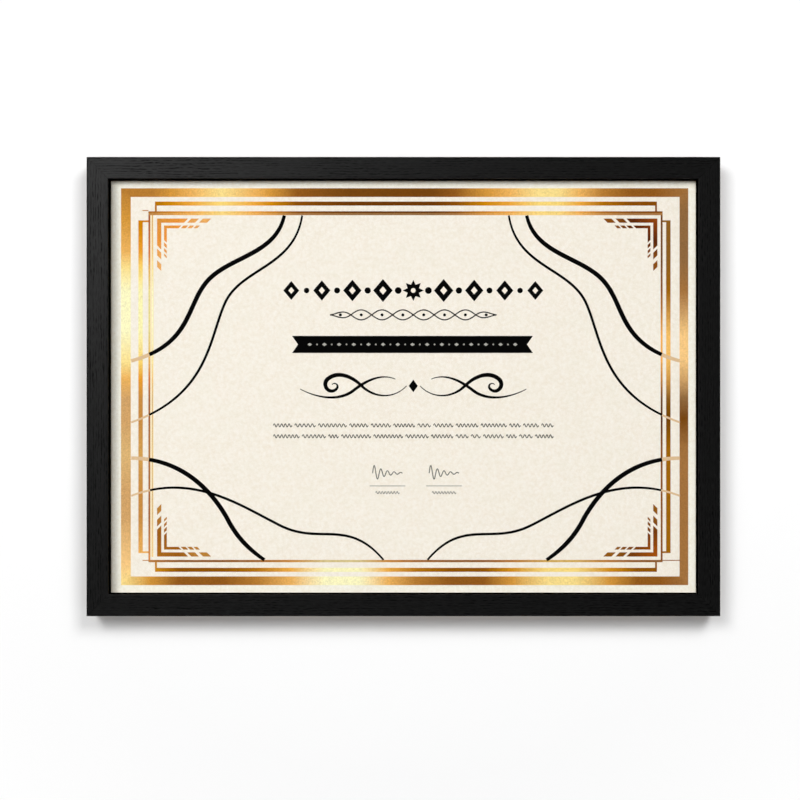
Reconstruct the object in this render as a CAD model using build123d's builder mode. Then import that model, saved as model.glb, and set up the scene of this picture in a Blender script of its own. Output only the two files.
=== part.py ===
from build123d import *
import os

# Wall-hung certificate frame for one landscape A4 sheet, in millimetres. X runs to the viewer's right, Y runs
# into the wall and Z runs up. The origin is on the wall's plane, where the wall nail bears in the middle
# notch of the landscape hanger.

# Sheet and moulding
sheet_width = 297.0
sheet_height = 210.0
sheet_thickness = 0.25
lip_cover = 1.5  # how far the lip covers each edge of the sheet
rail_width = 11.0
lip_depth = 7.0
lip_reach = 3.0  # how far the lip stands in front of the pocket
outer_edge_radius = 0.7
sight_edge_radius = 0.5
back_edge_radius = 0.3
mitre_gap = 0.06
overrun = 1.0  # how far a cut runs past what it cuts
land_margin = 0.5  # bare land each side of what is fixed on a rail's back

# What lies in the pocket, from the lip backwards
glazing_thickness = 2.0
print_gap = 0.25  # air between the glazing and the sheet
filler_thickness = 4.5
backing_thickness = 3.0
pocket_clearance = 0.5
backing_corner_radius = 2.0

# Wall bumpers
bumper_height = 3.0
bumper_edge_radius = 0.8
bumper_corner_distance = 14.0

# V-nails across the mitres
v_nail_inset = 2.6
v_nail_margin = 0.8  # from a leg's end to the land's inner edge
v_nail_height = 10.0
v_nail_thickness = 0.5
v_nail_bend_radius = 0.4
v_nail_sink = 0.3

# Turn buttons: flat steel, the tip cranked up for a finger
button_thickness = 0.8
button_clearance = 0.1  # over the rails and the backing
button_tip_width = 5.0
button_reach = 11.0
button_crank_length = 2.6
button_crank_rise = 0.7
button_bore_clearance = 0.06  # radial, round the screw
button_place_share = 0.25  # of the rail's length, each way from its middle

# Button screws
screw_shank_diameter = 2.4
screw_length = 10.0
screw_tip_length = 2.4
screw_head_diameter = 4.6
screw_head_height = 1.1
screw_head_radius = 0.6
screw_head_clearance = 0.05  # between the head and the button
screw_recess_width = 0.5
screw_recess_length = 2.6
screw_recess_depth = 0.6

# Sawtooth hangers: a steel strip, raised in the middle, toothed on the edge towards the frame's centre
hanger_thickness = 0.8
hanger_rise = 1.0
hanger_ramp_length = 1.6
hanger_tab_length = 5.4
hanger_bend_radius = 0.5
hanger_corner_radius = 1.5
tooth_count = 9
tooth_pitch = 2.4
tooth_tip = 0.5
tooth_depth = 1.2
tooth_margin = 1.2  # from the outermost notch to the ramp

# Hanger nails
nail_diameter = 1.4
nail_length = 9.0
nail_tip_length = 1.8
nail_head_diameter = 2.8
nail_head_height = 0.5
nail_bore_clearance = 0.1

# Sizes that follow
sight_width = sheet_width - 2 * lip_cover
sight_height = sheet_height - 2 * lip_cover
outer_width = sight_width + 2 * rail_width
outer_height = sight_height + 2 * rail_width
board_width = sight_width + 2 * lip_reach - 2 * pocket_clearance
board_height = sight_height + 2 * lip_reach - 2 * pocket_clearance
land_width = rail_width - lip_reach
pocket_depth = glazing_thickness + print_gap + sheet_thickness + filler_thickness + backing_thickness
rail_depth = lip_depth + pocket_depth
land_middle = land_width / 2
hardware_width = land_width - 2 * land_margin
v_nail_leg = land_width - v_nail_inset - v_nail_margin
screw_seat = button_clearance + button_thickness + screw_head_clearance
button_flat_end = button_reach - button_crank_length
button_tip_centre = button_reach - button_tip_width / 2
hanger_raised_length = tooth_count * tooth_pitch + 2 * tooth_margin
hanger_ramp_end = hanger_raised_length / 2 + hanger_ramp_length
hanger_end = hanger_ramp_end + hanger_tab_length
hanger_mid = hanger_thickness / 2
toothed_edge = land_margin + hardware_width
notch_width = tooth_pitch - tooth_tip
nail_place = hanger_ramp_end + hanger_tab_length / 2

# Places that follow
back_y = -bumper_height
front_y = back_y - rail_depth
centre_z = toothed_edge - tooth_depth - outer_height / 2

sides = ("top", "right", "bottom", "left")
side_runs = (outer_width, outer_height, outer_width, outer_height)
side_reaches = (outer_height / 2, outer_width / 2, outer_height / 2, outer_width / 2)
hanger_turns = (sides.index("top"), sides.index("right"))
quarter_turn = 90


def side_plane(turn):
    """The back of one rail: origin mid-rail on its outer edge, x along it, y inward, z at the wall."""
    level = Plane(origin=(0, back_y, centre_z), x_dir=(1, 0, 0), z_dir=(0, 1, 0))
    level = level.rotated((0, quarter_turn * turn, 0))
    middle = level.from_local_coords((0, -side_reaches[turn], 0))
    return Plane(origin=middle, x_dir=level.x_dir, z_dir=level.z_dir)


def plane_on_side(turn, along, inward, height=0):
    """A plane parallel to a rail's back, at a place along it, inward of its edge and above it."""
    side = side_plane(turn)
    place = side.from_local_coords((along, inward, height))
    return Plane(origin=place, x_dir=side.x_dir, z_dir=side.z_dir)


def corner_plane(turn):
    """The outer corner where a rail starts, with x along that rail and y along the one before it."""
    return plane_on_side(turn, -side_runs[turn] / 2, 0)


def button_places(turn):
    """How far along its rail each of the two turn buttons is."""
    place = side_runs[turn] * button_place_share
    return (-place, place)


def save(part, name):
    """Labels one finished piece and writes it."""
    part.label = name
    export_step(part, f"parts/{name}.step")


def copies(part, planes):
    """One node that holds a copy of a piece on each plane."""
    with BuildPart() as group:
        with Locations(*[plane.location for plane in planes]):
            add(part)
    return group.part


# V-nail: a bent steel strip that straddles the mitre, seen from behind as a right angle
with BuildSketch() as v_nail_profile:
    with BuildLine():
        Polyline(
            (v_nail_inset, v_nail_inset),
            (v_nail_inset + v_nail_leg, v_nail_inset),
            (v_nail_inset + v_nail_leg, v_nail_inset + v_nail_thickness),
            (v_nail_inset + v_nail_thickness, v_nail_inset + v_nail_thickness),
            (v_nail_inset + v_nail_thickness, v_nail_inset + v_nail_leg),
            (v_nail_inset, v_nail_inset + v_nail_leg),
            close=True,
        )
    make_face()
    bend = v_nail_profile.vertices().sort_by_distance((v_nail_inset, v_nail_inset))[0]
    fillet(bend, radius=v_nail_bend_radius)

with BuildPart() as v_nail:
    with BuildSketch(Plane.XY.offset(-v_nail_sink)):
        add(v_nail_profile.sketch)
    extrude(amount=-v_nail_height)


# Button screw, along its own Z with the underside of the head at zero. The body alone also cuts its hole.
with BuildPart() as screw_body:
    with BuildSketch(Plane.XZ):
        with BuildLine():
            Polyline(
                (0, 0),
                (screw_shank_diameter / 2, 0),
                (screw_shank_diameter / 2, screw_tip_length - screw_length),
                (0, -screw_length),
                close=True,
            )
        make_face()
    revolve(axis=Axis.Z)

with BuildPart() as screw:
    add(screw_body.part)
    with BuildSketch():
        Circle(screw_head_diameter / 2)
    extrude(amount=screw_head_height)
    fillet(screw.edges().group_by(Axis.Z)[-1], radius=screw_head_radius)
    with BuildSketch(Plane.XY.offset(screw_head_height)):
        Rectangle(screw_recess_length, screw_recess_width)
        Rectangle(screw_recess_width, screw_recess_length)
    extrude(amount=-screw_recess_depth, mode=Mode.SUBTRACT)

# Hanger nail, along its own Z with the underside of the head at zero
with BuildPart() as nail:
    with BuildSketch(Plane.XZ):
        with BuildLine():
            Polyline(
                (0, nail_head_height),
                (nail_head_diameter / 2, nail_head_height),
                (nail_head_diameter / 2, 0),
                (nail_diameter / 2, 0),
                (nail_diameter / 2, nail_tip_length - nail_length),
                (0, -nail_length),
                close=True,
            )
        make_face()
    revolve(axis=Axis.Z)

# Turn button, lying on XY with its pivot at the origin and its tip along +Y
with BuildPart() as button:
    with BuildSketch(Plane.YZ):
        with BuildLine():
            Polyline(
                (-hardware_width / 2, button_thickness / 2),
                (button_flat_end, button_thickness / 2),
                (button_reach, button_thickness / 2 + button_crank_rise),
            )
        trace(line_width=button_thickness)
    extrude(amount=hardware_width / 2, both=True)
    with BuildSketch() as button_outline:
        Circle(hardware_width / 2)
        with Locations((0, button_tip_centre)):
            Circle(button_tip_width / 2)
        make_hull()
        Circle(screw_shank_diameter / 2 + button_bore_clearance, mode=Mode.SUBTRACT)
    extrude(amount=button_thickness + button_crank_rise + overrun, both=True, mode=Mode.INTERSECT)

# Sawtooth hanger, lying on XY with X along the rail and Y inward from the rail's outer edge
with BuildPart() as hanger:
    with BuildSketch(Plane(origin=(0, land_margin, 0), x_dir=(1, 0, 0), z_dir=(0, -1, 0))):
        with BuildLine():
            FilletPolyline(
                (-hanger_end, hanger_mid),
                (-hanger_ramp_end, hanger_mid),
                (-hanger_raised_length / 2, hanger_mid + hanger_rise),
                (hanger_raised_length / 2, hanger_mid + hanger_rise),
                (hanger_ramp_end, hanger_mid),
                (hanger_end, hanger_mid),
                radius=hanger_bend_radius,
            )
        trace(line_width=hanger_thickness)
    extrude(amount=-hardware_width)
    ends = hanger.edges().filter_by(Axis.Z).group_by(Axis.X)
    fillet(ends[0] + ends[-1], radius=hanger_corner_radius)
    with BuildSketch():
        with Locations((-nail_place, land_middle), (nail_place, land_middle)):
            Circle(nail_diameter / 2 + nail_bore_clearance)
    extrude(amount=hanger_thickness, mode=Mode.SUBTRACT)
    with BuildSketch():
        with Locations((0, toothed_edge)):
            with GridLocations(tooth_pitch, 0, tooth_count, 1):
                Polygon(
                    (-notch_width / 2, overrun),
                    (-notch_width / 2, 0),
                    (0, -tooth_depth),
                    (notch_width / 2, 0),
                    (notch_width / 2, overrun),
                    align=None,
                )
    extrude(amount=hanger_rise + hanger_thickness + overrun, mode=Mode.SUBTRACT)

# Wall bumper, on XY with its base at zero
with BuildPart() as bumper:
    with BuildSketch():
        Circle(hardware_width / 2)
    extrude(amount=bumper_height)
    fillet(bumper.edges().group_by(Axis.Z)[-1], radius=bumper_edge_radius)


def make_rail(turn):
    """One mitred rail with its rabbet, V-nail slots, screw holes and, under a hanger, nail holes."""
    back = side_plane(turn)
    section = Plane(origin=back.origin, x_dir=back.y_dir, z_dir=back.x_dir)
    half_run = side_runs[turn] / 2
    mitre_setback = mitre_gap / 2 * 2**0.5
    outer_half = half_run + overrun - mitre_setback
    inner_half = half_run - rail_width - overrun - mitre_setback
    rounded_corners = (
        ((0, -rail_depth), outer_edge_radius),
        ((rail_width, -rail_depth), sight_edge_radius),
        ((0, 0), back_edge_radius),
    )
    with BuildPart() as rail:
        with BuildSketch(section) as profile:
            with BuildLine():
                Polyline(
                    (0, 0),
                    (land_width, 0),
                    (land_width, -pocket_depth),
                    (rail_width, -pocket_depth),
                    (rail_width, -rail_depth),
                    (0, -rail_depth),
                    close=True,
                )
            make_face()
            for corner, radius in rounded_corners:
                fillet(profile.vertices().sort_by_distance(corner)[0], radius=radius)
        extrude(amount=half_run, both=True)
        with BuildSketch(back):
            with BuildLine():
                Polyline(
                    (-outer_half, -overrun),
                    (outer_half, -overrun),
                    (inner_half, rail_width + overrun),
                    (-inner_half, rail_width + overrun),
                    close=True,
                )
            make_face()
        extrude(amount=rail_depth + overrun, both=True, mode=Mode.INTERSECT)
        with BuildSketch(corner_plane(turn), corner_plane((turn + 1) % len(sides))):
            add(v_nail_profile.sketch)
        extrude(amount=-v_nail_sink - v_nail_height, mode=Mode.SUBTRACT)
        for along in button_places(turn):
            with Locations(plane_on_side(turn, along, land_middle, screw_seat).location):
                add(screw_body.part, mode=Mode.SUBTRACT)
        if turn in hanger_turns:
            for along in (-nail_place, nail_place):
                with Locations(plane_on_side(turn, along, land_middle, hanger_thickness).location):
                    add(nail.part, mode=Mode.SUBTRACT)
    return rail.part


def make_board(width, height, front, thickness, corner_radius=0):
    """A flat board centred in the pocket, from its front face backwards."""
    with BuildPart() as board:
        with BuildSketch(Plane(origin=(0, front, centre_z), x_dir=(1, 0, 0), z_dir=(0, 1, 0))) as outline:
            Rectangle(width, height)
            if corner_radius > 0:
                fillet(outline.vertices(), radius=corner_radius)
        extrude(amount=thickness)
    return board.part


os.makedirs("parts", exist_ok=True)

for turn, side in enumerate(sides):
    save(make_rail(turn), f"{side}_rail")
save(copies(v_nail.part, [corner_plane(turn) for turn in range(len(sides))]), "corner_v_nails")

# Boards in the pocket, front to back
glazing_front = front_y + lip_depth
sheet_front = glazing_front + glazing_thickness + print_gap
filler_front = sheet_front + sheet_thickness
backing_front = filler_front + filler_thickness
save(make_board(board_width, board_height, glazing_front, glazing_thickness), "glazing")
save(make_board(sheet_width, sheet_height, sheet_front, sheet_thickness), "certificate_sheet")
save(make_board(board_width, board_height, filler_front, filler_thickness), "filler_board")
save(
    make_board(board_width, board_height, backing_front, backing_thickness, backing_corner_radius),
    "backing_board",
)

# Turn buttons, closed over the backing, two on each rail in the order of the rail's own direction
button_ends = {"top": ("left", "right"), "right": ("upper", "lower")}
button_ends["bottom"] = tuple(reversed(button_ends["top"]))
button_ends["left"] = tuple(reversed(button_ends["right"]))
for turn, side in enumerate(sides):
    for end, along in zip(button_ends[side], button_places(turn)):
        seat = plane_on_side(turn, along, land_middle, button_clearance)
        save(copies(button.part, [seat]), f"turn_button_{side}_{end}")
screw_planes = [
    plane_on_side(turn, along, land_middle, screw_seat)
    for turn in range(len(sides))
    for along in button_places(turn)
]
save(copies(screw.part, screw_planes), "turn_button_screws")

# Hangers and their nails
save(copies(hanger.part, [side_plane(hanger_turns[0])]), "sawtooth_hanger_landscape")
save(copies(hanger.part, [side_plane(hanger_turns[1])]), "sawtooth_hanger_portrait")
nail_planes = [
    plane_on_side(turn, along, land_middle, hanger_thickness)
    for turn in hanger_turns
    for along in (-nail_place, nail_place)
]
save(copies(nail.part, nail_planes), "hanger_nails")

# Wall bumpers at the ends of the top and bottom rails
for side in ("top", "bottom"):
    turn = sides.index(side)
    bumper_place = side_runs[turn] / 2 - bumper_corner_distance
    for end, along in zip(button_ends[side], (-bumper_place, bumper_place)):
        seat = plane_on_side(turn, along, land_middle)
        save(copies(bumper.part, [seat]), f"wall_bumper_{side}_{end}")
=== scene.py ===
import math
import random
from collections import namedtuple

import bmesh
import bpy
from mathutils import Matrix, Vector
from mathutils.geometry import interpolate_bezier


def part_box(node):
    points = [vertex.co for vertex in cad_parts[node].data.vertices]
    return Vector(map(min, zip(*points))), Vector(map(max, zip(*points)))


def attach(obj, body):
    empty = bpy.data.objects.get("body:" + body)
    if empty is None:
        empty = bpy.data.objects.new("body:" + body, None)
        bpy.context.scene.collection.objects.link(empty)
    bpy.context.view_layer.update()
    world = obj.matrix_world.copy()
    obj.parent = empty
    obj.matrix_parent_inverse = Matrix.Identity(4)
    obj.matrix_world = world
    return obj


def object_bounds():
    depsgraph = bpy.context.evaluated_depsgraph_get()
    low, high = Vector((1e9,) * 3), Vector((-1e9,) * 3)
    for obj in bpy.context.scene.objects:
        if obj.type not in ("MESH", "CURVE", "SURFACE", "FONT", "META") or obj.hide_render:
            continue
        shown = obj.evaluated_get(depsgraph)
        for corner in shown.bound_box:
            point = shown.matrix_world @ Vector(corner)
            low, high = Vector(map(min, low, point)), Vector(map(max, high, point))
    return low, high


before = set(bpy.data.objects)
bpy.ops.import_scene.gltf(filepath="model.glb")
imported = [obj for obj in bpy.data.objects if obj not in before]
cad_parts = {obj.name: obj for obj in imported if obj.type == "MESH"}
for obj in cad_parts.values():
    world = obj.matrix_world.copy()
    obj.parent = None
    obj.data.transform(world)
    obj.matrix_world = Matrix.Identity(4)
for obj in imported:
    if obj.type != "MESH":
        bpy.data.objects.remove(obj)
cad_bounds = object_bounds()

# A wall-hung certificate frame. X runs to the viewer's right, Y into the wall and Z up, in metres. The
# print's own sizes are in millimetres from the frame's middle, x to the right and z up.

MM = 0.001
Edges = namedtuple("Edges", "left right bottom top")

SIDES = ("top", "right", "bottom", "left")
LEVEL_SIDES = ("top", "bottom")

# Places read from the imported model
frame_low, frame_high = (Vector(corner) for corner in cad_bounds)
sheet_low, sheet_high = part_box("certificate_sheet")
glazing_low, glazing_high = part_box("glazing")
middle = (frame_low + frame_high) / 2
frame_half_width = frame_high.x - middle.x
frame_half_height = frame_high.z - middle.z
sheet_front = sheet_low.y
rail_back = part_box("left_rail")[1].y
wall_plane = frame_high.y
lip_cover = 1.5 * MM  # how far the lip covers each edge of the sheet
sight_half_width = sheet_high.x - middle.x - lip_cover
sight_half_height = sheet_high.z - middle.z - lip_cover
glass_play = 0.5 * MM  # from each edge of the glass to the pocket
pocket_half_width = glazing_high.x - middle.x + glass_play
pocket_half_height = glazing_high.z - middle.z + glass_play

# Printed border
band_outer = Edges(-142.3, 143.55, -100.0, 100.0)
band_inner = Edges(-137.4, 139.2, -95.65, 95.65)
tall_step = Edges(-125.2, 127.8, -93.3, 93.3)
tall_step_bar = 2.0
wide_step = Edges(-133.55, 134.65, -83.85, 83.85)
wide_step_bar = 2.2
inner_line = Edges(-128.5, 130.65, -88.45, 88.4)
inner_line_top_bar = 1.95
inner_line_top_edge = 0.8  # the darker share of the top bar
inner_line_bottom_bar = 1.15
fine_line = 0.92
twin_line = 1.75
twin_line_stop = 1.5  # how far the pale twin line ends above the bottom line
hairline = 0.45
hairline_inset = 0.85  # from the twin line's outer edge to the hairline on it
corner_tail = 3.0
corner_tail_rise = 0.65  # from the inner line's top edge to that of the tail above it

# Corner brackets
bracket_inset = 1.7
bracket_bar = 2.1
bracket_arm = 14.6
bracket_level_dashes = ((16.2, 20.1), (22.1, 26.2))
bracket_upright_dashes = ((16.2, 19.6), (22.0, 25.4))
small_bracket_inset = 5.2
small_bracket_bar = 1.4
small_bracket_arm = 8.0
small_bracket_level_dashes = ((9.1, 11.5), (12.4, 14.6), (15.5, 17.4))
small_bracket_upright_dashes = ((9.1, 10.9), (12.0, 13.6), (14.7, 15.9))

# Flowing lines
thick_line = 2.3
thin_line = 1.3

# Ribbon and the ornaments that fill the places of the wording
ribbon = Edges(-56.1, 65.3, 17.0, 25.6)
ribbon_notch = 3.0
wording_middle = 5.0
title_height = 48.5
braid_height = 36.2
braid_half_width = 42.0
flourish_height = 0.4
body_heights = (-19.5, -25.0)
body_half_width = 70.5
signature_places = (-8.0, 20.5)
signature_rule_height = -50.0
caption_height = -53.4

# How far each printing lies above the card
gold_lift = 0.02
tail_lift = 0.025
ink_lift = 0.03
knockout_lift = 0.045


def linear(hex_colour):
    """An sRGB hex colour as linear RGBA."""
    parts = [int(hex_colour[place:place + 2], 16) / 255 for place in (1, 3, 5)]
    curved = [p / 12.92 if p <= 0.04045 else ((p + 0.055) / 1.055) ** 2.4 for p in parts]
    return (*curved, 1.0)


def per_metre(size_mm):
    """The texture scale that gives features of this size."""
    return 1 / (size_mm * MM)


def add(tree, kind, inputs=None, stops=None, **settings):
    """Adds a shader node with its settings, its inputs' values or links, and a ramp's (place, colour) stops.
    A node that is given as an input is linked by its first output."""
    made = tree.nodes.new("ShaderNode" + kind)
    for name, value in settings.items():
        setattr(made, name, value)
    for key, value in (inputs or {}).items():
        if isinstance(value, bpy.types.Node):
            value = value.outputs[0]
        if isinstance(value, bpy.types.NodeSocket):
            tree.links.new(value, made.inputs[key])
        else:
            made.inputs[key].default_value = value
    if stops:
        elements = made.color_ramp.elements
        while len(elements) < len(stops):
            elements.new(1.0)
        for element, (place, colour) in zip(elements, stops):
            element.position = place
            element.color = colour
    return made


def new_material(name):
    """A new material and its node tree, still empty."""
    material = bpy.data.materials.new(name)
    material.use_nodes = True
    material.node_tree.nodes.clear()
    return material, material.node_tree


def surfaced(material, shader):
    """The material, with the shader as its surface."""
    add(material.node_tree, "OutputMaterial", {"Surface": shader})
    return material


def grey(value):
    """A linear grey as RGBA."""
    return (value, value, value, 1.0)


def placed(name, data):
    """A new object in the scene."""
    item = bpy.data.objects.new(name, data)
    bpy.context.scene.collection.objects.link(item)
    return item


# Materials

def raw_mdf_colour(tree, place):
    """Raw MDF: a pale brown felt of short wood fibres."""
    fibre_size = 0.8
    fibres = add(tree, "TexNoise",
                 {"Vector": place, "Scale": per_metre(fibre_size), "Detail": 4.0, "Roughness": 0.7})
    return add(tree, "ValToRGB", {"Fac": fibres},
               stops=[(0.28, linear("#86653F")), (0.5, linear("#A5815A")), (0.74, linear("#B99A70"))])


def within(tree, place, half_width, half_height, nearest):
    """One where a place is inside a rectangle about the frame's middle and behind the nearest depth."""
    split = add(tree, "SeparateXYZ", {"Vector": place})
    held = add(tree, "Math", {0: split.outputs["Y"], 1: nearest}, operation="GREATER_THAN")
    for axis, centre, half in (("X", middle.x, half_width), ("Z", middle.z, half_height)):
        aside = add(tree, "Math", {0: split.outputs[axis], 1: centre}, operation="SUBTRACT")
        aside = add(tree, "Math", {0: aside}, operation="ABSOLUTE")
        inner = add(tree, "Math", {0: aside, 1: half}, operation="LESS_THAN")
        held = add(tree, "Math", {0: held, 1: inner}, operation="MULTIPLY")
    return held


def black_foiled_mdf(side):
    """MDF wrapped in satin black foil with an embossed ash grain. The eye gets short fine grooves that run
    along the rail and stop at the mitre, deep in some patches and faint in others, in a charcoal that turns
    grey where it faces the light. Round the opening and in the mitre it gets a dull black, and behind and in
    the rabbet, where the foil ends, raw brown MDF. The grooves are drawn wider than real ones so that they
    show."""
    groove_pitch, groove_length = 1.3, 8.5
    pores_per_pitch, patches_per_pitch = 3.0, 0.3
    wave_scale = 0.314  # the wave texture then has one groove to each pitch
    side_shift = 3.7  # from one rail's pattern to the next rail's, in pitches
    mitre_skew = 0.3  # a face lies in a mitre if its normal's X and Z parts multiply to more than this
    material, tree = new_material(f"black_foiled_mdf_{side}")
    place = add(tree, "TexCoord").outputs["Object"]
    across, along = per_metre(groove_pitch), per_metre(groove_length)
    stretch = (along, across, across) if side in LEVEL_SIDES else (across, across, along)
    shift = side_shift * (SIDES.index(side) + 1)
    laid = add(tree, "Mapping", {"Vector": place, "Location": (shift, shift, shift), "Scale": stretch})
    lines = add(tree, "TexWave",
                {"Vector": laid, "Scale": wave_scale, "Distortion": 6.0, "Detail": 2.0, "Detail Scale": 1.6},
                bands_direction="Z" if side in LEVEL_SIDES else "X")
    groove = add(tree, "ValToRGB", {"Fac": lines.outputs["Fac"]}, stops=[(0.04, grey(0.0)), (0.3, grey(1.0))])
    pores = add(tree, "TexNoise", {"Vector": laid, "Scale": pores_per_pitch, "Detail": 2.0})
    pore_depth = add(tree, "MapRange", {"Value": pores, "From Min": 0.38, "From Max": 0.62})
    patches = add(tree, "TexNoise", {"Vector": laid, "Scale": patches_per_pitch, "Detail": 1.0})
    patch_depth = add(tree, "MapRange",
                      {"Value": patches, "From Min": 0.38, "From Max": 0.6, "To Min": 0.3, "To Max": 1.0})
    depth = add(tree, "Math", {0: pore_depth, 1: patch_depth}, operation="MULTIPLY")
    cut = add(tree, "Mix", {0: depth, 2: 1.0, 3: groove})
    ground = add(tree, "Mix", {0: pore_depth, 6: linear("#131313"), 7: linear("#040404")}, data_type="RGBA")
    toned = add(tree, "Mix", {0: cut, 6: linear("#010101"), 7: ground.outputs[2]}, data_type="RGBA")
    rough = add(tree, "MapRange", {"Value": cut, "To Min": 0.56, "To Max": 0.43})
    sheen = add(tree, "MapRange", {"Value": cut, "To Min": 0.2, "To Max": 0.55})
    emboss = add(tree, "Bump", {"Strength": 0.5, "Distance": 0.1 * MM, "Height": cut})
    wrapped = add(tree, "BsdfPrincipled",
                  {"Base Color": toned.outputs[2], "Roughness": rough,
                   "Specular IOR Level": sheen, "Normal": emboss})
    dull = add(tree, "BsdfPrincipled",
               {"Base Color": linear("#030303"), "Roughness": 1.0, "Specular IOR Level": 0.0})
    bare = add(tree, "BsdfPrincipled", {"Base Color": raw_mdf_colour(tree, place), "Roughness": 0.85})
    edge = 0.02 * MM
    opening = within(tree, place, sight_half_width + edge, sight_half_height + edge, frame_low.y)
    pocket = within(tree, place, pocket_half_width + edge, pocket_half_height + edge, glazing_low.y - edge)
    behind = within(tree, place, frame_half_width, frame_half_height, rail_back - edge)
    raw = add(tree, "Math", {0: pocket, 1: behind}, operation="MAXIMUM")
    turned = add(tree, "VectorMath", {0: add(tree, "NewGeometry").outputs["True Normal"]},
                 operation="ABSOLUTE")
    turned = add(tree, "SeparateXYZ", {"Vector": turned})
    skew = add(tree, "Math", {0: turned.outputs["X"], 1: turned.outputs["Z"]}, operation="MULTIPLY")
    mitre = add(tree, "Math", {0: skew, 1: mitre_skew}, operation="GREATER_THAN")
    unlit = add(tree, "Math", {0: opening, 1: mitre}, operation="MAXIMUM")
    front = add(tree, "MixShader", {0: unlit, 1: wrapped, 2: dull})
    both = add(tree, "MixShader", {0: raw, 1: front, 2: bare})
    return surfaced(material, both)


def clear_glass():
    """Float glass, polished and clear. The eye gets a faint cool tint, and a sharp reflection that grows at
    grazing angles."""
    material, tree = new_material("clear_float_glass")
    through = add(tree, "BsdfTransparent", {"Color": linear("#FEFFFE")})
    gleam = add(tree, "BsdfGlossy", {"Color": linear("#FFFFFF"), "Roughness": 0.02})
    share = add(tree, "Fresnel", {"IOR": 1.52})
    facing = add(tree, "NewGeometry")
    outer = add(tree, "Math", {0: 1.0, 1: facing.outputs["Backfacing"]}, operation="SUBTRACT")
    share = add(tree, "Math", {0: share, 1: outer}, operation="MULTIPLY")
    pane = add(tree, "MixShader", {0: share, 1: through, 2: gleam})
    return surfaced(material, pane)


def cream_card():
    """Uncoated cream card stock, calendered. The eye gets a warm off-white with a soft cloudy mottle and a
    fine tooth, and a cooler ivory outside the gold band. The tooth is drawn coarser than real fibres, so that
    it shows."""
    mottle_size, cloud_size, tooth_size = 1.6, 9.0, 0.5
    field_half_width, field_half_height = 140.0 * MM, 98.0 * MM  # the ivory starts under the band
    ivory_tint = (1.0, 1.04, 1.04)
    material, tree = new_material("uncoated_cream_card")
    place = add(tree, "TexCoord").outputs["Object"]
    mottle = add(tree, "TexNoise",
                 {"Vector": place, "Scale": per_metre(mottle_size), "Detail": 3.0, "Roughness": 0.6})
    cloud = add(tree, "TexNoise", {"Vector": place, "Scale": per_metre(cloud_size), "Detail": 2.0})
    tooth = add(tree, "TexNoise", {"Vector": place, "Scale": per_metre(tooth_size), "Detail": 2.0})
    warm = add(tree, "ValToRGB", {"Fac": mottle},
               stops=[(0.32, linear("#F6E8DB")), (0.5, linear("#FBEFE6")), (0.68, linear("#FFF6F0"))])
    cool = add(tree, "ValToRGB", {"Fac": mottle},
               stops=[(0.32, linear("#F5ECE0")), (0.68, linear("#FCF3EA"))])
    cream = add(tree, "Mix", {0: cloud, 6: warm, 7: cool}, data_type="RGBA")
    ivory = add(tree, "VectorMath", {0: cream.outputs[2], 1: ivory_tint}, operation="MULTIPLY")
    field = within(tree, place, field_half_width, field_half_height, frame_low.y)
    colour = add(tree, "Mix", {0: field, 6: ivory, 7: cream.outputs[2]}, data_type="RGBA")
    relief = add(tree, "Bump", {"Strength": 0.12, "Distance": 0.03 * MM, "Height": tooth})
    card = add(tree, "BsdfPrincipled", {"Base Color": colour.outputs[2], "Roughness": 0.75, "Normal": relief})
    return surfaced(material, card)


GOLDS = {
    "white_gold": "#FEF6C8",
    "pale_gold": "#FCDF92",
    "honey": "#F0B461",
    "amber": "#D8993F",
    "ochre": "#BA7D33",
    "bronze": "#965B1C",
    "umber": "#79450C",
    "peach": "#FBCC8A",
    "wheat": "#E0B67A",
    "sand": "#D6A56C",
    "tan": "#A87440",
    "taupe": "#946A40",
}

# How the gold turns along each side, as (share of the run, gold), left to right or top to bottom
GOLD_TURNS = {
    "top": [(0.0, "ochre"), (0.055, "ochre"), (0.092, "amber"), (0.125, "honey"), (0.178, "pale_gold"),
            (0.235, "honey"), (0.263, "amber"), (0.31, "bronze"), (0.40, "umber"), (0.55, "umber"),
            (0.59, "bronze"), (0.645, "amber"), (0.685, "honey"), (0.735, "pale_gold"), (0.77, "pale_gold"),
            (0.81, "honey"), (0.85, "ochre"), (0.90, "bronze"), (0.94, "bronze"), (1.0, "tan")],
    "bottom": [(0.0, "pale_gold"), (0.05, "amber"), (0.10, "bronze"), (0.18, "bronze"), (0.24, "ochre"),
               (0.30, "honey"), (0.36, "white_gold"), (0.42, "white_gold"), (0.47, "honey"),
               (0.52, "ochre"), (0.58, "bronze"), (0.64, "bronze"), (0.69, "amber"), (0.755, "pale_gold"),
               (0.80, "pale_gold"), (0.86, "amber"), (0.91, "bronze"), (0.95, "bronze"), (1.0, "tan")],
    "left": [(0.0, "ochre"), (0.08, "amber"), (0.16, "honey"), (0.2, "pale_gold"), (0.26, "white_gold"),
             (0.36, "white_gold"), (0.44, "pale_gold"), (0.48, "honey"), (0.53, "sand"), (0.59, "sand"),
             (0.67, "wheat"), (0.76, "sand"), (0.83, "sand"), (0.95, "peach"), (1.0, "pale_gold")],
    "right": [(0.0, "tan"), (0.06, "taupe"), (0.18, "taupe"), (0.26, "tan"), (0.32, "sand"),
              (0.37, "peach"), (0.43, "peach"), (0.48, "sand"), (0.53, "taupe"), (0.58, "umber"),
              (0.66, "tan"), (1.0, "tan")],
}

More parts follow.
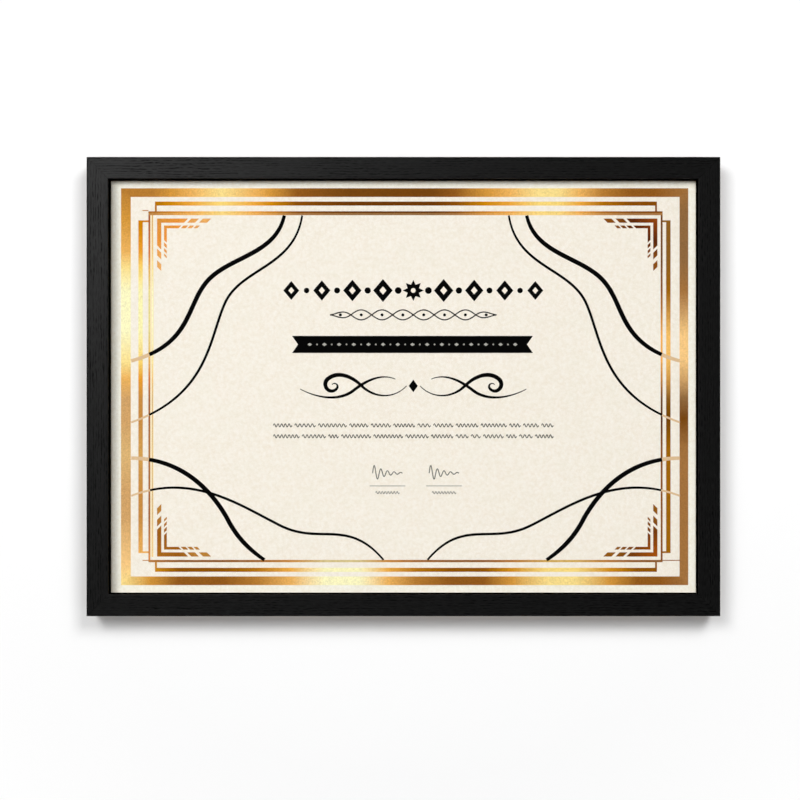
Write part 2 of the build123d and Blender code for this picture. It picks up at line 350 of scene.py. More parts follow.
# How each line's gold departs from its side's band: a power that deepens it, its saturation, and a gold
# that is blended in by a share
LINE_TONES = {
    ("step", "top"): (1.15, 1.05, "tan", 0.0),
    ("step", "bottom"): (1.05, 1.05, "tan", 0.0),
    ("step", "left"): (1.3, 1.05, "tan", 0.0),
    ("step", "right"): (1.05, 1.13, "tan", 0.0),
    ("inner", "top"): (1.25, 1.0, "tan", 0.0),
    ("inner", "bottom"): (1.4, 1.0, "tan", 0.5),
    ("inner", "left"): (2.2, 0.95, "umber", 0.2),
    ("inner", "right"): (1.5, 1.05, "umber", 0.0),
    ("under", "top"): (1.15, 1.0, "peach", 0.2),
}

# Each corner's brackets: at the corner, at the ends of the long arms, and at the last dashes
CORNER_GOLDS = {
    "top_left": ("#DA923E", "#EC9438", "#EAAA60"),
    "top_right": ("#93440C", "#582405", "#8C4E12"),
    "bottom_left": ("#B06C1C", "#9C5A12", "#BC8034"),
    "bottom_right": ("#A45008", "#783B05", "#925812"),
}


def gold_ink(material, colour):
    """Gold-toned printing: flat colour with hardly any sheen, broken by a fine speckle. The speckle is drawn
    coarser than the real printing screen, so that it shows."""
    speckle_size = 0.5
    tree = material.node_tree
    place = add(tree, "TexCoord").outputs["Object"]
    speckle = add(tree, "TexNoise",
                  {"Vector": place, "Scale": per_metre(speckle_size), "Detail": 2.0, "Roughness": 0.7})
    shade = add(tree, "MapRange",
                {"Value": speckle, "From Min": 0.3, "From Max": 0.7, "To Min": 0.82, "To Max": 1.18})
    flecked = add(tree, "VectorMath", {0: colour, "Scale": shade}, operation="SCALE")
    ink = add(tree, "BsdfPrincipled", {"Base Color": flecked, "Roughness": 0.55, "Specular IOR Level": 0.12})
    return surfaced(material, ink)


def gold_print(side, kind):
    """The gold of one side's band or lines, which turns dark and bright along its run."""
    power, saturation, blended, share = LINE_TONES.get((kind, side), (1.0, 1.0, "tan", 0.0))
    material, tree = new_material(f"gold_print_{kind}_{side}")
    split = add(tree, "SeparateXYZ", {"Vector": add(tree, "TexCoord").outputs["Object"]})
    if side in LEVEL_SIDES:
        start, end, axis = middle.x + band_outer.left * MM, middle.x + band_outer.right * MM, "X"
    else:
        start, end, axis = middle.z + band_outer.top * MM, middle.z + band_outer.bottom * MM, "Z"
    run = add(tree, "MapRange", {"Value": split.outputs[axis], "From Min": start, "From Max": end})
    turns = [(turn, linear(GOLDS[gold])) for turn, gold in GOLD_TURNS[side]]
    colour = add(tree, "ValToRGB", {"Fac": run}, stops=turns)
    deep = add(tree, "Gamma", {"Color": colour, "Gamma": power})
    rich = add(tree, "HueSaturation", {"Color": deep, "Saturation": saturation})
    toned = add(tree, "Mix", {0: share, 6: rich, 7: linear(GOLDS[blended])}, data_type="RGBA")
    return gold_ink(material, toned.outputs[2])


def corner_gold_print(corner, golds):
    """The gold of one corner's brackets, outwards from the corner."""
    height, side = corner.split("_")
    material, tree = new_material(f"gold_print_{corner}")
    start = on_sheet((getattr(inner_line, side), getattr(inner_line, height)), 0.0)
    away = add(tree, "VectorMath",
               {0: add(tree, "TexCoord").outputs["Object"], 1: start}, operation="DISTANCE")
    reach = (bracket_inset + bracket_level_dashes[-1][1]) * MM
    run = add(tree, "MapRange", {"Value": away.outputs["Value"], "From Max": reach})
    stop_shares = (0.2, bracket_arm / bracket_level_dashes[-1][1], 0.9)
    stops = [(share, linear(gold)) for share, gold in zip(stop_shares, golds)]
    colour = add(tree, "ValToRGB", {"Fac": run}, stops=stops)
    return gold_ink(material, colour)


def plain_ink(name, dark, light, roughness):
    """Printing ink on card, laid even: one tone with a faint uneven density where the card's tooth shows."""
    density_size = 1.4
    material, tree = new_material(name)
    place = add(tree, "TexCoord").outputs["Object"]
    density = add(tree, "TexNoise", {"Vector": place, "Scale": per_metre(density_size), "Detail": 3.0})
    colour = add(tree, "Mix", {0: density, 6: linear(dark), 7: linear(light)}, data_type="RGBA")
    ink = add(tree, "BsdfPrincipled",
              {"Base Color": colour.outputs[2], "Roughness": roughness, "Specular IOR Level": 0.05})
    return surfaced(material, ink)


def kraft_card():
    """Corrugated board with brown kraft liners. The eye gets a matt brown with short darker fibres and the
    faint washboard lines of the fluting beneath."""
    fibre_width, fibre_length, flute_pitch = 0.5, 3.0, 3.6
    material, tree = new_material("kraft_corrugated_card")
    place = add(tree, "TexCoord").outputs["Object"]
    stretch = (per_metre(fibre_length), per_metre(fibre_width), per_metre(fibre_width))
    laid = add(tree, "Mapping", {"Vector": place, "Scale": stretch})
    fibres = add(tree, "TexNoise", {"Vector": laid, "Scale": 1.0, "Detail": 4.0})
    colour = add(tree, "ValToRGB", {"Fac": fibres},
                 stops=[(0.3, linear("#8A6840")), (0.5, linear("#AD8857")), (0.7, linear("#C09B69"))])
    split = add(tree, "SeparateXYZ", {"Vector": place})
    phase = add(tree, "Math", {0: split.outputs["X"], 1: 2 * math.pi * per_metre(flute_pitch)},
                operation="MULTIPLY")
    flutes = add(tree, "Math", {0: phase}, operation="SINE")
    washboard = add(tree, "Bump", {"Strength": 0.4, "Distance": 0.1 * MM, "Height": flutes})
    board = add(tree, "BsdfPrincipled", {"Base Color": colour, "Roughness": 0.85, "Normal": washboard})
    return surfaced(material, board)


def hardboard():
    """Tempered hardboard, pressed smooth. The eye gets a warm mid brown with dark fibre flecks and pale
    specks, and a low sheen."""
    fleck_size, cloud_size = 0.8, 14.0
    material, tree = new_material("smooth_brown_hardboard")
    place = add(tree, "TexCoord").outputs["Object"]
    flecks = add(tree, "TexNoise",
                 {"Vector": place, "Scale": per_metre(fleck_size), "Detail": 6.0, "Roughness": 0.75})
    cloud = add(tree, "TexNoise", {"Vector": place, "Scale": per_metre(cloud_size), "Detail": 3.0})
    fine = add(tree, "ValToRGB", {"Fac": flecks},
               stops=[(0.3, linear("#4A2E17")), (0.46, linear("#7A5330")), (0.58, linear("#8C6340")),
                      (0.76, linear("#B08A60"))])
    shade = add(tree, "MapRange",
                {"Value": cloud, "From Min": 0.3, "From Max": 0.7, "To Min": 0.86, "To Max": 1.12})
    colour = add(tree, "VectorMath", {0: fine, "Scale": shade}, operation="SCALE")
    skin = add(tree, "Bump", {"Strength": 0.2, "Distance": 0.05 * MM, "Height": flecks})
    board = add(tree, "BsdfPrincipled", {"Base Color": colour, "Roughness": 0.55, "Normal": skin})
    return surfaced(material, board)


def plated_steel(name, bright, dull, roughness):
    """Thinly plated pressed steel. The eye gets a soft metal gleam with faint cloudy dulling and fine
    tumbling scratches, drawn wider than real ones so that they show."""
    cloud_size, scratch_size = 2.6, 0.25
    material, tree = new_material(name)
    place = add(tree, "TexCoord").outputs["Object"]
    cloud = add(tree, "TexNoise",
                {"Vector": place, "Scale": per_metre(cloud_size), "Detail": 4.0, "Roughness": 0.6})
    colour = add(tree, "Mix", {0: cloud, 6: linear(bright), 7: linear(dull)}, data_type="RGBA")
    haze = add(tree, "MapRange", {"Value": cloud, "To Min": roughness - 0.1, "To Max": roughness + 0.14})
    scratches = add(tree, "TexNoise",
                    {"Vector": place, "Scale": per_metre(scratch_size), "Detail": 2.0, "Distortion": 1.2})
    worn = add(tree, "Bump", {"Strength": 0.1, "Distance": 0.02 * MM, "Height": scratches})
    metal = add(tree, "BsdfPrincipled",
                {"Base Color": colour.outputs[2], "Metallic": 1.0, "Roughness": haze, "Normal": worn})
    return surfaced(material, metal)


def grey_rubber():
    """Moulded grey rubber. The eye gets a soft dark grey with a dusty bloom and no clear highlight."""
    bloom_size, grain_size = 1.8, 0.3
    material, tree = new_material("moulded_grey_rubber")
    place = add(tree, "TexCoord").outputs["Object"]
    bloom = add(tree, "TexNoise", {"Vector": place, "Scale": per_metre(bloom_size), "Detail": 4.0})
    grain = add(tree, "TexNoise", {"Vector": place, "Scale": per_metre(grain_size)})
    colour = add(tree, "Mix", {0: bloom, 6: linear("#4B4B4D"), 7: linear("#636366")}, data_type="RGBA")
    skin = add(tree, "Bump", {"Strength": 0.3, "Distance": 0.04 * MM, "Height": grain})
    rubber = add(tree, "BsdfPrincipled", {"Base Color": colour.outputs[2], "Roughness": 0.8, "Normal": skin})
    return surfaced(material, rubber)


def dress(node, material):
    """Gives a CAD node its finish."""
    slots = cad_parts[node].data.materials
    slots.clear()
    slots.append(material)


def dress_cad_nodes():
    """Every CAD node's finish."""
    for side in SIDES:
        dress(f"{side}_rail", black_foiled_mdf(side))
    dress("glazing", clear_glass())
    dress("certificate_sheet", cream_card())
    dress("filler_board", kraft_card())
    dress("backing_board", hardboard())
    zinc = plated_steel("zinc_plated_steel", "#C6C9CC", "#9FA3A7", 0.38)
    brass = plated_steel("brass_plated_steel", "#E0B868", "#B68E4A", 0.34)
    rubber = grey_rubber()
    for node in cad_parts:
        if node.startswith("turn_button") or node == "corner_v_nails":
            dress(node, zinc)
        elif "hanger" in node:
            dress(node, brass)
        elif node.startswith("wall_bumper"):
            dress(node, rubber)


# Printing

def on_sheet(point, lift):
    """A place on the sheet's face, from its (x, z) in mm from the frame's middle and its lift in mm."""
    x, z = point
    return Vector((middle.x + x * MM, sheet_front - lift * MM, middle.z + z * MM))


def print_shape(mesh, outline, lift):
    """Adds one flat shape of ink, closed all round, to a bmesh."""
    face = [mesh.verts.new(on_sheet(point, lift)) for point in outline]
    foot = [mesh.verts.new(on_sheet(point, 0.0)) for point in outline]
    mesh.faces.new(face)
    mesh.faces.new(reversed(foot))
    for start in range(len(outline)):
        end = (start + 1) % len(outline)
        mesh.faces.new((face[end], face[start], foot[start], foot[end]))


def print_stroke(mesh, path, widths, lift):
    """Adds one stroke of ink along a path, with a width at each of its points."""
    rows = []
    for place, point in enumerate(path):
        ahead = path[min(place + 1, len(path) - 1)]
        behind = path[max(place - 1, 0)]
        side = Vector((behind[1] - ahead[1], ahead[0] - behind[0])).normalized() * widths[place] / 2
        ends = (Vector(point) + side, Vector(point) - side)
        rows.append([mesh.verts.new(on_sheet(end, height)) for end, height in (
            (ends[0], lift), (ends[1], lift), (ends[1], 0.0), (ends[0], 0.0))])
    for row, following in zip(rows, rows[1:]):
        for start in range(len(row)):
            end = (start + 1) % len(row)
            mesh.faces.new((row[start], row[end], following[end], following[start]))
    mesh.faces.new(reversed(rows[0]))
    mesh.faces.new(rows[-1])


def printed_piece(name, mesh, ink):
    """Turns a bmesh of ink into a piece that stays with the sheet."""
    bmesh.ops.recalc_face_normals(mesh, faces=mesh.faces)
    many_sided = [face for face in mesh.faces if len(face.verts) > 4]
    bmesh.ops.triangulate(mesh, faces=many_sided)
    data = bpy.data.meshes.new(name)
    mesh.to_mesh(data)
    mesh.free()
    data.materials.append(ink)
    piece = placed(name, data)
    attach(piece, "frame")


def print_bars(name, gold, bars):
    """One piece of gold made of upright rectangles, each given as its left, right, bottom and top."""
    mesh = bmesh.new()
    for left, right, bottom, top in bars:
        print_shape(mesh, ((left, bottom), (right, bottom), (right, top), (left, top)), gold_lift)
    printed_piece(name, mesh, gold)


def print_band(side, gold):
    """One mitred side of the broad gold band."""
    outer = {"top": ("left", "top", "right", "top"), "bottom": ("right", "bottom", "left", "bottom"),
             "right": ("right", "top", "right", "bottom"), "left": ("left", "bottom", "left", "top")}[side]
    names = ((outer[0], outer[1]), (outer[2], outer[3]))
    outline = [tuple(getattr(band_outer, edge) for edge in corner) for corner in names]
    outline += [tuple(getattr(band_inner, edge) for edge in corner) for corner in reversed(names)]
    mesh = bmesh.new()
    print_shape(mesh, outline, gold_lift)
    printed_piece(f"gold_band_{side}", mesh, gold)


def print_tall_step(side, gold):
    """The bar beyond the inner line at the top or bottom, joined to it by a short fine line at each end."""
    step, line = tall_step, inner_line
    if side == "top":
        bar, foot = (step.top - tall_step_bar, step.top), (line.top, step.top - tall_step_bar)
    else:
        bar, foot = (step.bottom, step.bottom + tall_step_bar), (step.bottom + tall_step_bar, line.bottom)
    ends = ((step.left, step.left + fine_line), (step.right - fine_line, step.right))
    print_bars(f"gold_step_{side}", gold,
               [(step.left, step.right, *bar), (*ends[0], *foot), (*ends[1], *foot)])


def print_wide_step(side, gold):
    """The bar beyond the inner line at the left or right, joined to it by a short fine line at each end."""
    step, line = wide_step, inner_line
    if side == "left":
        bar, foot = (step.left, step.left + wide_step_bar), (step.left + wide_step_bar, line.left)
    else:
        bar, foot = (step.right - wide_step_bar, step.right), (line.right, step.right - wide_step_bar)
    ends = ((step.top - fine_line, step.top), (step.bottom, step.bottom + fine_line))
    print_bars(f"gold_step_{side}", gold,
               [(*bar, step.bottom, step.top), (*foot, *ends[0]), (*foot, *ends[1])])


def print_inner_line(golds, pale):
    """The line round the inner field: a broad top that pales inwards, fine sides, a pale twin with a hairline
    beside the left one, and a fine tail at three corners."""
    line = inner_line
    under_top = line.top - inner_line_top_bar
    under_edge = line.top - inner_line_top_edge
    over_bottom = line.bottom + inner_line_bottom_bar
    twin = line.left + fine_line
    twin_low = over_bottom + twin_line_stop
    hair = twin + hairline_inset
    tail_low, tail_high = over_bottom - hairline, line.top + corner_tail_rise
    bars = (
        ("line_top", golds["top"], (line.left, line.right, under_edge, line.top)),
        ("line_under_top", gold_print("top", "under"), (line.left, line.right, under_top, under_edge)),
        ("line_bottom", golds["bottom"], (line.left, line.right, line.bottom, over_bottom)),
        ("line_left", golds["left"], (line.left, twin, over_bottom, under_top)),
        ("line_right", golds["right"], (line.right - fine_line, line.right, over_bottom, under_top)),
        ("twin_line_left", pale, (twin, hair, twin_low, under_top)),
        ("twin_line_inner", pale, (hair + hairline, twin + twin_line, twin_low, under_top)),
        ("hairline_left", gold_print("left", "hairline"), (hair, hair + hairline, twin_low, under_top)),
        ("tail_top_left", golds["bottom"],
         (line.left - corner_tail, line.left, tail_high - hairline, tail_high)),
        ("tail_bottom_left", golds["bottom"], (line.left - corner_tail, line.left, tail_low, over_bottom)),
        ("tail_bottom_right", golds["bottom"], (line.right, band_inner.right, tail_low, over_bottom)),
    )
    for name, gold, place in bars:
        print_bars(f"gold_{name}", gold, [place])


def print_bracket(mesh, corner, inward, bar, arm, level_dashes, upright_dashes):
    """An angle in a corner whose arms break into slanted dashes. Level arms reach furthest on the outside and
    upright arms on the inside, because every cut slants the same way."""
    def place(u, v):
        """A place u along the level arm and v along the upright arm."""
        return (corner[0] + inward[0] * u, corner[1] + inward[1] * v)

    slant = bar / 2
    outline = ((0, 0), (arm + slant, 0), (arm - slant, bar), (bar, bar), (bar, arm + slant), (0, arm - slant))
    print_shape(mesh, [place(u, v) for u, v in outline], gold_lift)
    dashes = [((start + slant, 0), (end + slant, 0), (end - slant, bar), (start - slant, bar))
              for start, end in level_dashes]
    dashes += [((0, start - slant), (0, end - slant), (bar, end + slant), (bar, start + slant))
               for start, end in upright_dashes]
    for dash in dashes:
        print_shape(mesh, [place(u, v) for u, v in dash], gold_lift)


def print_corner(name, gold):
    """The large and the small bracket of one corner of the inner field."""
    field = Edges(inner_line.left + fine_line + twin_line, inner_line.right - fine_line,
                  inner_line.bottom + inner_line_bottom_bar, inner_line.top - inner_line_top_bar)
    height, side = name.split("_")
    inward = (1 if side == "left" else -1, 1 if height == "bottom" else -1)
    mesh = bmesh.new()
    sizes = ((bracket_inset, bracket_bar, bracket_arm, bracket_level_dashes, bracket_upright_dashes),
             (small_bracket_inset, small_bracket_bar, small_bracket_arm, small_bracket_level_dashes,
              small_bracket_upright_dashes))
    for inset, *shape in sizes:
        corner = (getattr(field, side) + inward[0] * inset, getattr(field, height) + inward[1] * inset)
        print_bracket(mesh, corner, inward, *shape)
    printed_piece(f"gold_bracket_{name}", mesh, gold)


# Each flowing line is a chain of Bezier points on the left half: knot, two handles, knot, and so on
FLOWING_LINES = {
    "upper_thick": (thick_line, ((-60, 86.3), (-64, 68), (-84, 66), (-96, 56), (-110.4, 44), (-104, 22),
                                 (-137.2, 13))),
    "upper_thin": (thin_line, ((-51, 86.3), (-55, 60), (-82, 60), (-90, 42), (-98, 24), (-98, -4),
                               (-137.2, -18))),
    "lower_thick": (thick_line, ((-137.2, -36), (-112, -36), (-97, -52), (-89, -66), (-86, -72),
                                 (-81, -80), (-70, -87.3))),
    "lower_thin": (thin_line, ((-137.2, -55), (-106, -43), (-82, -60), (-62, -70), (-42, -80), (-28, -66),
                               (-10, -87.3))),
}


def bezier_path(knots, steps=48):
    """Points along a chain of cubic Bezier spans."""
    path = []
    for start in range(0, len(knots) - 1, 3):
        span = [Vector(knot) for knot in knots[start:start + 4]]
        points = interpolate_bezier(*[v.to_3d() for v in span], steps + 1)
        path += [point.to_2d() for point in points[1 if path else 0:]]
    return path


def mirrored(path):
    """The path on the other side of the inner field's middle."""
    axis = inner_line.left + inner_line.right
    return [Vector((axis - point[0], point[1])) for point in path]


def print_flowing_lines(ink, pale):
    """Pairs of thick and thin curves that sweep across the four corners of the inner field. Beyond the inner
    line they go on as pale tails to the band."""
    end_width_share, swell_share = 0.75, 0.25
    for name, (width, knots) in FLOWING_LINES.items():
        path = bezier_path(knots)
        last = len(path) - 1
        swell = [math.sin(math.pi / 2 * min(1.0, min(place, last - place) / last / swell_share))
                 for place in range(last + 1)]
        widths = [width * (end_width_share + (1 - end_width_share) * share) for share in swell]
        inside = [place for place, point in enumerate(path) if point[0] > inner_line.left]
        outside = [place for place, point in enumerate(path) if point[0] <= inner_line.left]
        joint = inside[0] if outside[0] == 0 else inside[-1]
        parts = (("line", inside, ink_lift, ink, "black_print"),
                 ("tail", sorted(outside + [joint]), tail_lift, pale, "gold_print"))
        for half, way in (("left", path), ("right", mirrored(path))):
            for part, places, lift, part_ink, slot in parts:
                mesh = bmesh.new()
                part_widths = [widths[place] for place in places]
                print_stroke(mesh, [way[place] for place in places], part_widths, lift)
                printed_piece(f"{name}_{part}_{half}", mesh, part_ink)


def circle(centre, radius, steps=20):
    """Points round a circle."""
    turns = [2 * math.pi * step / steps for step in range(steps)]
    return [(centre[0] + radius * math.cos(turn), centre[1] + radius * math.sin(turn)) for turn in turns]


def pointed_star(centre, points, outer, inner):
    """Points of a star that has one point straight up."""
    outline = []
    for step in range(2 * points):
        turn = math.pi * step / points
        reach = inner if step % 2 else outer
        outline.append((centre[0] + reach * math.sin(turn), centre[1] + reach * math.cos(turn)))
    return outline


def lozenge(centre, half_width, half_height):
    """The corners of a lozenge."""
    x, z = centre
    return ((x - half_width, z), (x, z - half_height), (x + half_width, z), (x, z + half_height))


def print_title_row(ink, ground):
    """A bold row of lozenges and dots about a star, in the place of the title."""
    star_points, star_outer, star_inner, star_eye = 8, 5.3, 3.1, 1.2
    count, first, pitch, half_height, half_width, dot = 4, 7.6, 15.4, 5.8, 4.9, 1.7
    shrink_share, eye_share = 0.06, 0.36
    mesh, eyes = bmesh.new(), bmesh.new()
    centre = (wording_middle, title_height)
    print_shape(mesh, pointed_star(centre, star_points, star_outer, star_inner), ink_lift)
    print_shape(eyes, circle(centre, star_eye), knockout_lift)
    for step in range(count):
        size = 1 - shrink_share * step
        for way in (-1, 1):
            bead = (wording_middle + way * (first + step * pitch), title_height)
            print_shape(mesh, circle(bead, dot * size), ink_lift)
            spot = (bead[0] + way * pitch / 2, title_height)
            print_shape(mesh, lozenge(spot, half_width * size, half_height * size), ink_lift)
            print_shape(eyes, lozenge(spot, half_width * size * eye_share, half_height * size * eye_share),
                        knockout_lift)
    printed_piece("title_ornament", mesh, ink)
    printed_piece("title_ornament_eyes", eyes, ground)


def print_braid(ink):
    """Two fine interlaced waves with a dot in each eye, in the place of the second line."""
    stroke, sway, waves, dot = 0.6, 2.5, 8, 0.75
    wave_steps, fade_rate, end_sway_share = 24, 6, 0.15
    mesh = bmesh.new()
    steps = wave_steps * waves
    for way in (-1, 1):
        path = []
        for step in range(steps + 1):
            along = step / steps
            fade = min(1.0, fade_rate * min(along, 1 - along) + end_sway_share)
            path.append((wording_middle + braid_half_width * (2 * along - 1),
                         braid_height + way * sway * fade * math.sin(math.pi * waves * along)))
        print_stroke(mesh, path, [stroke] * len(path), ink_lift)
    for wave in range(waves):
        spot = (wording_middle + braid_half_width * ((2 * wave + 1) / waves - 1), braid_height)
        print_shape(mesh, circle(spot, dot), ink_lift)
    printed_piece("braid_ornament", mesh, ink)


def print_ribbon(ink, pale):
    """The black swallow-tailed ribbon, with a fine row of pale beads."""
    count, pitch, bead, bead_sides, half_width, half_height = 14, 3.7, 0.42, 12, 1.15, 0.85
    left, right, bottom, top = ribbon
    half = (top + bottom) / 2
    outline = ((left, bottom), (right, bottom), (right - ribbon_notch, half),
               (right, top), (left, top), (left + ribbon_notch, half))
    mesh = bmesh.new()
    print_shape(mesh, outline, ink_lift)
    printed_piece("ribbon", mesh, ink)
    beads = bmesh.new()
    for step in range(-count, count + 1):
        spot = ((left + right) / 2 + step * pitch, half)
        if step % 2:
            print_shape(beads, circle(spot, bead, bead_sides), knockout_lift)
        else:
            print_shape(beads, lozenge(spot, half_width, half_height), knockout_lift)
    printed_piece("ribbon_beads", beads, pale)


def print_flourish(ink):
    """A penman's scroll, mirrored about a lozenge, in the place of the name."""
    scroll = ((3.4, 0.0), (10, -7), (20, -6), (26, 0), (31, 5), (38, 7.6), (43, 3.6), (46.5, 0.6),
              (42.5, -4.6), (39, -1.8), (36.8, 0.2), (39.6, 2.4), (41, 0.6))
    tail = ((9, 3.4), (16, 6.6), (24, 2.6), (30, -2.2), (37, -7.8), (48, -6.4), (57, -1.6))
    scroll_width, tail_width, thinnest, swell_power, steps = 2.1, 1.5, 0.4, 1.5, 20
    half_width, half_height = 2.3, 3.2
    mesh = bmesh.new()
    for knots, widest in ((scroll, scroll_width), (tail, tail_width)):
        path = bezier_path(knots, steps)
        last = len(path) - 1
        swell = [math.sin(math.pi * place / last) ** swell_power for place in range(last + 1)]
        widths = [thinnest + (widest - thinnest) * share for share in swell]
        for way in (-1, 1):
            half = [(wording_middle + way * point[0], flourish_height + point[1]) for point in path]
            print_stroke(mesh, half, widths, ink_lift)
    print_shape(mesh, lozenge((wording_middle, flourish_height), half_width, half_height), ink_lift)
    printed_piece("name_flourish", mesh, ink)


def print_squiggle(mesh, start, end, height, sway, pitch, stroke):
    """A run of fine waves, as a stand-in for one printed word."""
    turn_steps = 8
    turns = max(1, round((end - start) / pitch))
    steps = turn_steps * turns
    path = [(start + (end - start) * step / steps,
             height + sway * math.sin(2 * math.pi * turns * step / steps)) for step in range(steps + 1)]
    print_stroke(mesh, path, [stroke] * len(path), ink_lift)


def print_body(ink):
    """Two lines of word-long squiggles, in the place of the body text."""
    seed = 11
    lengths = random.Random(seed)
    space, sway, pitch, stroke = 1.5, 0.85, 1.9, 0.42
    shortest, longest, least_room, least_rest = 4.5, 15.0, 3.0, 5.0
    mesh = bmesh.new()
    for height in body_heights:
        start = wording_middle - body_half_width
        stop = wording_middle + body_half_width
        while start < stop - least_room:
            end = min(stop, start + lengths.uniform(shortest, longest))
            if stop - end < least_rest:
                end = stop
            print_squiggle(mesh, start, end, height, sway, pitch, stroke)
            start = end + space
    printed_piece("body_squiggles", mesh, ink)


def print_signing_places(ink):
    """Two signing rules, each with a pen wave that dies away above it and a short squiggle below."""
    half_rule, rule_stroke, pen_stroke = 9.0, 0.3, 0.5
    length, swings, tall, short, wave_height, steps = 15.0, 4.5, 4.6, 0.35, 6.4, 72
    half_caption, caption_sway, caption_pitch, caption_stroke = 6.0, 0.6, 1.5, 0.35
    mesh = bmesh.new()
    for spot in signature_places:
        rule = ((spot - half_rule, signature_rule_height), (spot + half_rule, signature_rule_height))
        print_stroke(mesh, rule, [rule_stroke] * 2, ink_lift)
        wave = []
        for step in range(steps + 1):
            share = step / steps
            sway = tall * (short / tall) ** share
            wave.append((spot + length * (share - 0.5), signature_rule_height + wave_height
                         + sway * math.sin(2 * math.pi * swings * share)))
        print_stroke(mesh, wave, [pen_stroke] * len(wave), ink_lift)
        print_squiggle(mesh, spot - half_caption, spot + half_caption, caption_height,
                       caption_sway, caption_pitch, caption_stroke)
    printed_piece("signing_places", mesh, ink)


def print_sheet():
    """Everything printed on the sheet."""
    pale = plain_ink("pale_gold_print", "#F9E2B8", "#FEEFD0", 0.5)
    tan = plain_ink("pale_tan_print", "#DDB68C", "#E6C6A2", 0.5)
    black = plain_ink("black_print", "#000000", "#030303", 0.5)
    grey_pen = plain_ink("grey_pen", "#5C5A57", "#757370", 0.55)
    ribbon_pale = plain_ink("ribbon_pale_print", "#A9A6A1", "#BDB9B3", 0.55)
    card_tone = plain_ink("card_toned_print", "#F8EADE", "#FDF2E8", 0.7)
    for side in SIDES:
        print_band(side, gold_print(side, "band"))
        step_gold = gold_print(side, "step")
        if side in LEVEL_SIDES:
            print_tall_step(side, step_gold)
        else:
            print_wide_step(side, step_gold)
    print_inner_line({side: gold_print(side, "inner") for side in SIDES}, pale)
    for corner, golds in CORNER_GOLDS.items():
        print_corner(corner, corner_gold_print(corner, golds))
    print_flowing_lines(black, tan)
    print_title_row(black, card_tone)
    print_braid(black)
    print_ribbon(black, ribbon_pale)
    print_flourish(black)
    print_body(black)
    print_signing_places(grey_pen)


# Studio. Its strengths are shares of what turns white paper white.

wall_glow = 0.02
ambient = 0.06
front_reflection = 0.04
back_reflection = 0.6
backdrop = 1.0


def matt_white_wall():
    """Matt white wall paint. The eye gets the frame's soft shadow on it and nothing more. Away from the
    frame, where the lights don't reach, it keeps one even pale tone. Behind the frame it carries a painted
    shade, near black, and from its own back it is clear."""
    lit_radius, even_radius = 0.2, 0.3
    # The second tone is the near black of the painted shade behind the frame
    paint_tone, painted_shade_tone = 0.9, 0.03
    material, tree = new_material("matt_white_wall")
    paint = add(tree, "BsdfDiffuse", {"Color": grey(paint_tone)})
    glow = add(tree, "Emission", {"Color": grey(1.0), "Strength": wall_glow})
    lit = add(tree, "AddShader", {0: paint, 1: glow})
    even = add(tree, "Emission", {"Color": grey(1.0), "Strength": backdrop})
    place = add(tree, "TexCoord").outputs["Object"]
    aside = add(tree, "VectorMath", {0: place, 1: (middle.x, wall_plane, middle.z)}, operation="DISTANCE")
    far = add(tree, "MapRange",
              {"Value": aside.outputs["Value"], "From Min": lit_radius, "From Max": even_radius})
    toned = add(tree, "MixShader", {0: far, 1: lit, 2: even})
    # Painted shade: where the frame covers the wall, a near-black diffuse stands in for the shade in the gap
    # behind it
    painted_shade_place = within(tree, place, frame_half_width, frame_half_height, wall_plane)
    painted_shade_paint = add(tree, "BsdfDiffuse", {"Color": grey(painted_shade_tone)})
    toned = add(tree, "MixShader", {0: painted_shade_place, 1: toned, 2: painted_shade_paint})
    unseen = add(tree, "BsdfTransparent")
    facing = add(tree, "NewGeometry")
    one_sided = add(tree, "MixShader", {0: facing.outputs["Backfacing"], 1: toned, 2: unseen})
    return surfaced(material, one_sided)


def studio_wall():
    """A white wall that curves into a pale floor, and that lights nothing."""
    half_span, height, floor_drop, reach, curve = 4.0, 2.6, 1.6, 5.0, 0.5
    gap, curve_steps = 0.2 * MM, 16
    profile = [(wall_plane + gap, height)]
    for step in range(curve_steps + 1):
        turn = math.pi / 2 * step / curve_steps
        profile.append((wall_plane + gap - curve * (1 - math.cos(turn)),
                        -floor_drop + curve * (1 - math.sin(turn))))
    profile.append((-reach, -floor_drop))
    mesh = bmesh.new()
    rows = [[mesh.verts.new((side * half_span, y, z)) for side in (-1, 1)] for y, z in profile]
    for row, following in zip(rows, rows[1:]):
        mesh.faces.new((row[0], row[1], following[1], following[0]))
    data = bpy.data.meshes.new("studio_wall")
    mesh.normal_update()
    if mesh.faces[:][0].normal.y > 0:
        bmesh.ops.reverse_faces(mesh, faces=mesh.faces)
    mesh.to_mesh(data)
    mesh.free()
    for face in data.polygons:
        face.use_smooth = True
    data.materials.append(matt_white_wall())
    wall = placed("studio_wall", data)
    wall.visible_diffuse = wall.visible_glossy = wall.visible_transmission = wall.visible_shadow = False
    return wall


def softbox(name, place, size, power, reached=None, gleam=False):
    """A square area light at a place from the frame's middle, turned to face it. It lights, or as a gleam it
    only shows in reflections, and where objects are given it reaches only these."""
    data = bpy.data.lights.new(name, "AREA")
    data.shape = "SQUARE"
    data.size = size
    data.energy = power
    light = placed(name, data)
    light.location = middle + Vector(place)
    light.rotation_euler = (-Vector(place)).to_track_quat("-Z", "Y").to_euler()
    light.visible_camera = False
    light.visible_glossy = gleam
    light.visible_diffuse = not gleam
    if reached:
        lit = bpy.data.collections.new(f"lit_by_{name}")
        for item in reached:
            lit.objects.link(item)
        light.light_linking.receiver_collection = lit


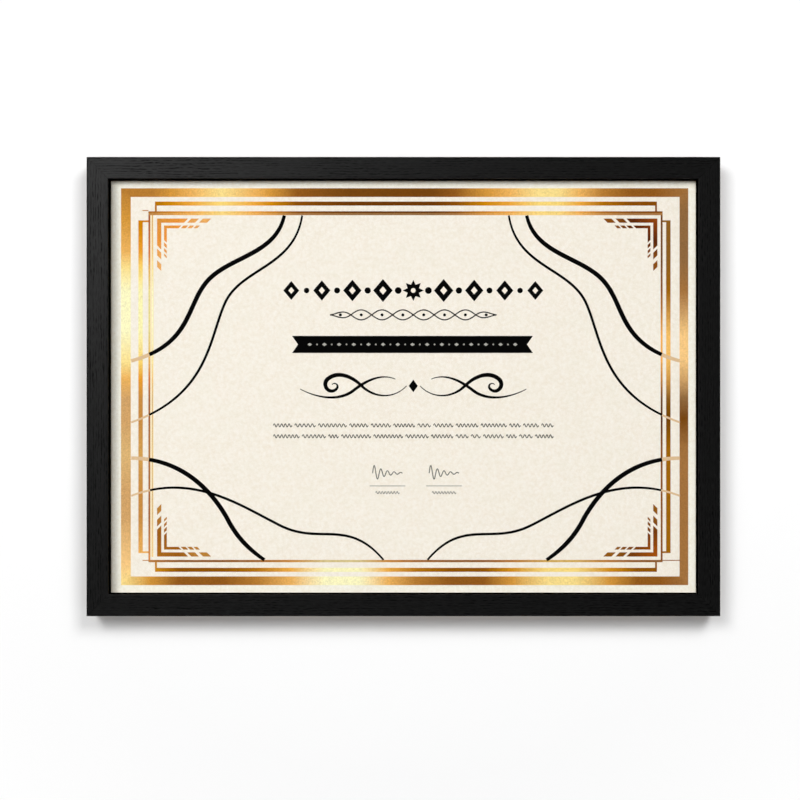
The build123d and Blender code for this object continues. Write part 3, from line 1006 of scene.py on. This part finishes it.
def studio_lights(wall):
    """Two soft lights for the frame's front, three for the wall alone, and a gleam over the rails from the
    upper left. Two more light the back, each with a gleam for the metal."""
    pieces = [item for item in bpy.context.scene.objects if item.type == "MESH" and item is not wall]
    rails = [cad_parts[f"{side}_rail"] for side in SIDES]
    metals = [item for name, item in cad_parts.items()
              if "button" in name or "hanger" in name or "nails" in name]
    softbox("key_light", (-1.15, -3.1, 0.64), size=1.2, power=64.0, reached=pieces)
    softbox("front_light", (0.0, -3.6, 0.4), size=1.0, power=63.5, reached=pieces)
    softbox("wall_fill", (0.0, -1.8, 0.1), size=2.8, power=20.0, reached=[wall])
    softbox("wall_light_left", (-0.53, -1.5, 0.5), size=0.5, power=12.3, reached=[wall])
    softbox("wall_light_right", (0.53, -1.5, 0.7), size=0.5, power=12.3, reached=[wall])
    softbox("sheen_light", (-0.44, -0.9, 0.4), size=0.4, power=2.0, reached=rails, gleam=True)
    for name, place, power in (("left", (-0.9, 0.9, 0.7), 21.0), ("right", (0.8, 1.1, 0.3), 13.0)):
        softbox(f"back_light_{name}", place, size=1.2, power=power)
        softbox(f"glint_{name}", place, size=1.2, power=power, reached=metals, gleam=True)


def studio_world():
    """Pale to the camera, with a low even light. Reflections find it dim before the frame and bright behind
    it."""
    dim_until, bright_from = 0.1, 0.6  # how far a direction leans to the back
    world = bpy.data.worlds.new("studio")
    bpy.context.scene.world = world
    world.use_nodes = True
    tree = world.node_tree
    tree.nodes.clear()
    rays = add(tree, "LightPath")
    ways = add(tree, "SeparateXYZ", {"Vector": add(tree, "TexCoord").outputs["Generated"]})
    mirrored_part = add(tree, "MapRange",
                        {"Value": ways.outputs["Y"], "From Min": dim_until, "From Max": bright_from,
                         "To Min": front_reflection, "To Max": back_reflection})
    unseen = add(tree, "Mix", {0: rays.outputs["Is Glossy Ray"], 2: ambient, 3: mirrored_part})
    strength = add(tree, "Mix", {0: rays.outputs["Is Camera Ray"], 2: unseen, 3: backdrop})
    shade = add(tree, "Background", {"Color": grey(1.0), "Strength": strength})
    add(tree, "OutputWorld", {"Surface": shade})


def photo_camera():
    """The photograph's own view: square on, a little below the frame's middle."""
    distance, aside, below = 0.8, -1.7 * MM, -6.7 * MM
    data = bpy.data.cameras.new("camera")
    data.sensor_width = 36.0
    data.lens = 72.25
    data.clip_start = 0.01
    data.clip_end = 50.0
    camera = placed("camera", data)
    camera.location = (middle.x + aside, frame_low.y - distance, middle.z + below)
    camera.rotation_euler = (math.pi / 2, 0, 0)
    bpy.context.scene.camera = camera


dress_cad_nodes()
print_sheet()
wall = studio_wall()
studio_world()
photo_camera()
studio_lights(wall)

bpy.context.scene.view_settings.view_transform = "Standard"
bpy.context.scene.view_settings.look = "None"
